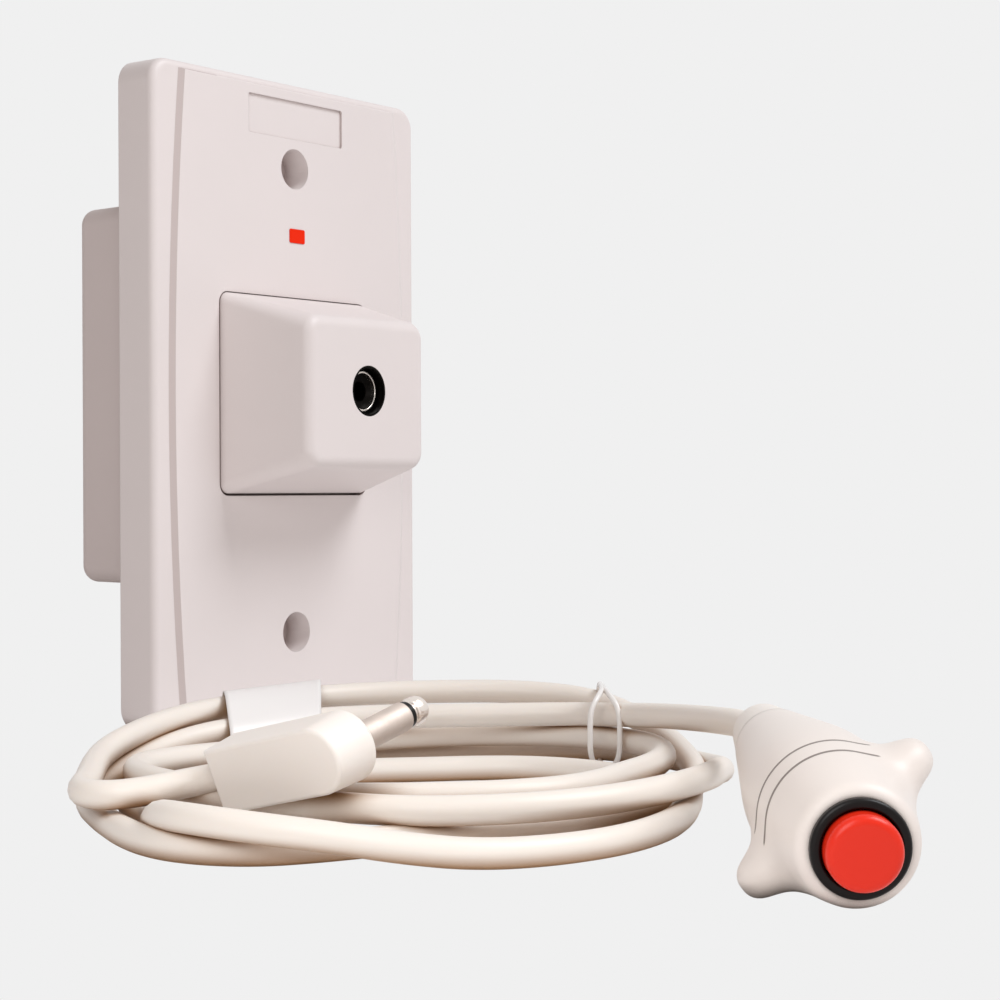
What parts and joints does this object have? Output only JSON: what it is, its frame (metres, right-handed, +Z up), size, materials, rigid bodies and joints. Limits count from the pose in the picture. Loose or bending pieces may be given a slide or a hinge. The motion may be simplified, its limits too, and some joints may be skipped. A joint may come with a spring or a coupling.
{
  "type": "wireless push button",
  "caption": "Wall-plate call station with a socket and radio box, and a hand button on a coiled cord with a right-angle plug.",
  "frame": {"origin": "middle of the wall plate's bottom edge, where the plate stands on a table", "axes": "+Z up along the plate, +Y from the plate's front towards the wall, +X to the right as seen from the front"},
  "size_m": [0.1556, 0.2051, 0.1143],
  "materials": {
    "plate_plastic": "moulded ABS, warm white, fine satin texture",
    "grip_plastic": "moulded ABS, ivory white, smooth",
    "cord_pvc": "extruded flexible PVC, ivory white",
    "plug_pvc": "overmoulded PVC, ivory white",
    "black_plastic": "moulded nylon, black",
    "red_plastic": "moulded ABS, signal red",
    "red_lens": "clear red acrylic",
    "box_plastic": "moulded ABS, warm white",
    "circuit_laminate": "glass-fibre laminate with green solder mask",
    "tinned_steel": "tinned sheet steel",
    "nickel_plate": "nickel-plated brass, polished",
    "brass_strip": "spring brass, bright",
    "copper_wire": "bare copper wire",
    "cell_sleeve": "shrink sleeve on a steel cell",
    "cradle_plastic": "moulded nylon, black",
    "zinc_screw": "zinc-plated steel",
    "clear_vinyl": "clear vinyl tie",
    "white_film": "blank white film label"
  },
  "bodies": {
    "root": {"wall_plate": "plate_plastic", "jack_housing": "plate_plastic", "rear_box": "box_plastic", "circuit_board": "circuit_laminate", "radio_module": "tinned_steel", "antenna": "copper_wire", "battery": "cell_sleeve", "battery_holder": "cradle_plastic", "battery_contact_upper": "nickel_plate", "battery_contact_lower": "nickel_plate", "housing_screws": "zinc_screw", "board_screws": "zinc_screw", "indicator_window": "red_lens", "indicator_led": "red_lens", "jack_body": "black_plastic", "jack_ferrule": "nickel_plate", "jack_tip_spring": "brass_strip", "pendant_housing": "grip_plastic", "strain_relief": "plug_pvc", "button_bezel": "black_plastic", "return_spring": "nickel_plate", "switch_body": "cradle_plastic", "fixed_contact_left": "brass_strip", "fixed_contact_right": "brass_strip", "plug_body": "plug_pvc", "plug_sleeve": "nickel_plate", "plug_insulator": "black_plastic", "plug_tip": "nickel_plate", "cord_tail": "cord_pvc", "cord_coil": "cord_pvc", "cord_lead": "cord_pvc", "cord_tie": "clear_vinyl", "cord_label": "white_film"},
    "button": {"button_cap": "red_plastic", "contact_bridge": "brass_strip"}
  },
  "joints": [
    {"name": "button_press", "type": "slide", "parent": "root", "child": "button", "axis": [0.774, 0.6279, 0.0825], "range_m": [0, 0.0015], "stiffness_N_per_m": 600, "springref_m": -0.0005, "deforming": ["return_spring"]}
  ]
}
